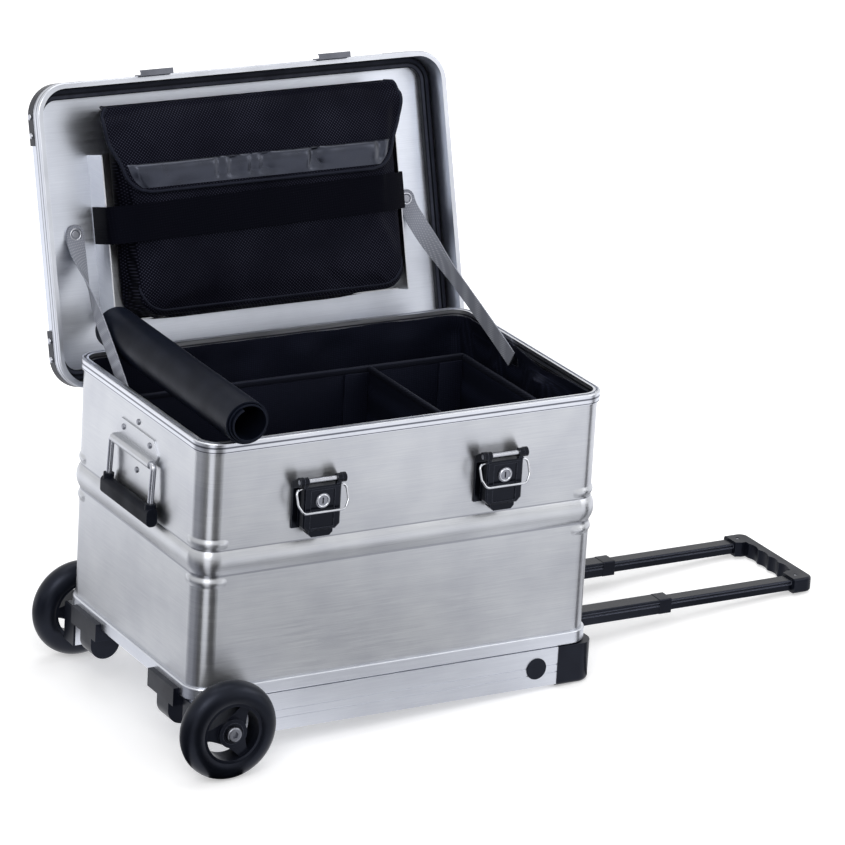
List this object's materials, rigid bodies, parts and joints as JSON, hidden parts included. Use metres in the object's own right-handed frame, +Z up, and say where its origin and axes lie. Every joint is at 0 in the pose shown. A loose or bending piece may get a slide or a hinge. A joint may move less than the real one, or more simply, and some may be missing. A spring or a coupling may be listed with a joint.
{
  "type": "wheeled aluminium case",
  "caption": "Aluminium transport case on a wheeled rail chassis, with a hinged lid, lined compartments, clamp latches, end handles and an extending pull handle.",
  "frame": {"origin": "on the floor, under the middle of the whole case with its lid open and its handle pulled out", "axes": "+X towards the pull handle, +Y towards the hinges, +Z up; the case stands tilted with the wheel end higher"},
  "size_m": [1.0228, 0.5752, 0.7564],
  "materials": {
    "aluminium_sheet": "satin rolled sheet",
    "aluminium_profile": "satin extruded",
    "black_plastic": "fine grained",
    "button_plastic": "smooth",
    "black_tube": "black anodised",
    "tyre_rubber": "smooth rubber",
    "seal_rubber": "soft black",
    "steel": "zinc plated",
    "bright_steel": "polished",
    "lining_fabric": "black nylon",
    "pouch_fabric": "black woven nylon",
    "elastic_webbing": "black elastic",
    "grey_webbing": "grey webbing",
    "mat_foam": "matte black foam sheet"
  },
  "bodies": {
    "case_body": {"body_shell": "aluminium_sheet", "body_rim": "aluminium_profile", "bottom_band": "aluminium_profile", "lining": "lining_fabric", "dividers": "lining_fabric", "front_rail": "aluminium_profile", "rear_rail": "aluminium_profile", "rail_end_caps": "black_plastic", "rail_heel_plugs": "black_plastic", "rail_face_plugs": "black_plastic", "stand_feet": "black_plastic", "cross_members": "aluminium_profile", "axle_bolts": "steel", "axle_spacers": "steel", "axle_nuts": "steel", "handle_guides": "aluminium_profile", "handle_plates": "aluminium_profile", "handle_rivets": "steel", "latch_bases": "black_plastic", "latch_pins": "steel", "hinge_body_leaves": "steel", "hinge_pins": "steel", "stay_wall_anchors": "grey_webbing", "stay_straps": "grey_webbing", "rolled_mat": "mat_foam"},
    "lid": {"lid_shell": "aluminium_sheet", "lid_rim": "aluminium_profile", "lid_seal": "seal_rubber", "lid_corner_guards": "black_plastic", "lid_guard_rivets": "steel", "lid_catches": "steel", "hinge_lid_leaves": "steel", "lid_tray": "aluminium_sheet", "pouch": "pouch_fabric", "pouch_flap": "pouch_fabric", "pouch_strap": "elastic_webbing", "stay_lid_anchors": "steel"},
    "front_wheel": {"front_tyre": "tyre_rubber", "front_hub": "black_plastic", "front_bearings": "steel"},
    "rear_wheel": {"rear_tyre": "tyre_rubber", "rear_hub": "black_plastic", "rear_bearings": "steel"},
    "handle_lower": {"lower_tubes": "black_tube", "tube_collars": "black_plastic"},
    "handle_upper": {"upper_tubes": "black_tube", "pull_grip": "black_plastic", "grip_screws": "steel"},
    "handle_button": {"release_button": "button_plastic"},
    "wheel_end_handle": {"wheel_end_handle_bail": "steel", "wheel_end_handle_grip": "black_plastic"},
    "pull_end_handle": {"pull_end_handle_bail": "steel", "pull_end_handle_grip": "black_plastic"},
    "left_lever": {"left_latch_lever": "black_plastic"},
    "left_bail": {"left_latch_bail": "bright_steel"},
    "left_lock": {"left_lock_cylinder": "bright_steel"},
    "right_lever": {"right_latch_lever": "black_plastic"},
    "right_bail": {"right_latch_bail": "bright_steel"},
    "right_lock": {"right_lock_cylinder": "bright_steel"}
  },
  "joints": [
    {"name": "lid_hinge", "type": "hinge", "parent": "case_body", "child": "lid", "pos_m": [-0.17225, 0.13529, 0.37245], "axis": [-0.998, 0, 0.0637], "range_deg": [-106.1, 0], "deforming": ["stay_straps", "rolled_mat"]},
    {"name": "front_wheel_spin", "type": "hinge", "parent": "case_body", "child": "front_wheel", "pos_m": [-0.44641, -0.26721, 0.065], "axis": [0, 1, 0], "continuous": true},
    {"name": "rear_wheel_spin", "type": "hinge", "parent": "case_body", "child": "rear_wheel", "pos_m": [-0.44641, 0.16479, 0.065], "axis": [0, 1, 0], "continuous": true},
    {"name": "handle_lower_slide", "type": "slide", "parent": "case_body", "child": "handle_lower", "axis": [0.998, 0, -0.0637], "range_m": [-0.203, 0]},
    {"name": "handle_upper_slide", "type": "slide", "parent": "handle_lower", "child": "handle_upper", "axis": [0.998, 0, -0.0637], "range_m": [-0.19, 0]},
    {"name": "release_button_press", "type": "slide", "parent": "handle_upper", "child": "handle_button", "axis": [0.998, 0, -0.0637], "range_m": [-0.003, 0], "stiffness_N_per_m": 600},
    {"name": "wheel_end_handle_swing", "type": "hinge", "parent": "case_body", "child": "wheel_end_handle", "pos_m": [-0.46537, -0.05121, 0.36432], "axis": [0, 1, 0], "range_deg": [0, 95]},
    {"name": "pull_end_handle_swing", "type": "hinge", "parent": "case_body", "child": "pull_end_handle", "pos_m": [0.11744, -0.05121, 0.32709], "axis": [0, -1, 0], "range_deg": [0, 95]},
    {"name": "left_lever_swing", "type": "hinge", "parent": "case_body", "child": "left_lever", "pos_m": [-0.30303, -0.25071, 0.36447], "axis": [0.998, 0, -0.0637], "range_deg": [-100, 0]},
    {"name": "left_bail_swing", "type": "hinge", "parent": "left_lever", "child": "left_bail", "pos_m": [-0.30367, -0.24921, 0.35449], "axis": [-0.998, 0, 0.0637], "range_deg": [0, 154]},
    {"name": "left_lock_turn", "type": "hinge", "parent": "left_lever", "child": "left_lock", "pos_m": [-0.30468, -0.25521, 0.33852], "axis": [0, -1, 0], "range_deg": [0, 90]},
    {"name": "right_lever_swing", "type": "hinge", "parent": "case_body", "child": "right_lever", "pos_m": [-0.04356, -0.25071, 0.3479], "axis": [0.998, 0, -0.0637], "range_deg": [-100, 0]},
    {"name": "right_bail_swing", "type": "hinge", "parent": "right_lever", "child": "right_bail", "pos_m": [-0.04419, -0.24921, 0.33792], "axis": [-0.998, 0, 0.0637], "range_deg": [0, 154]},
    {"name": "right_lock_turn", "type": "hinge", "parent": "right_lever", "child": "right_lock", "pos_m": [-0.04521, -0.25521, 0.32195], "axis": [0, -1, 0], "range_deg": [0, 90]}
  ]
}
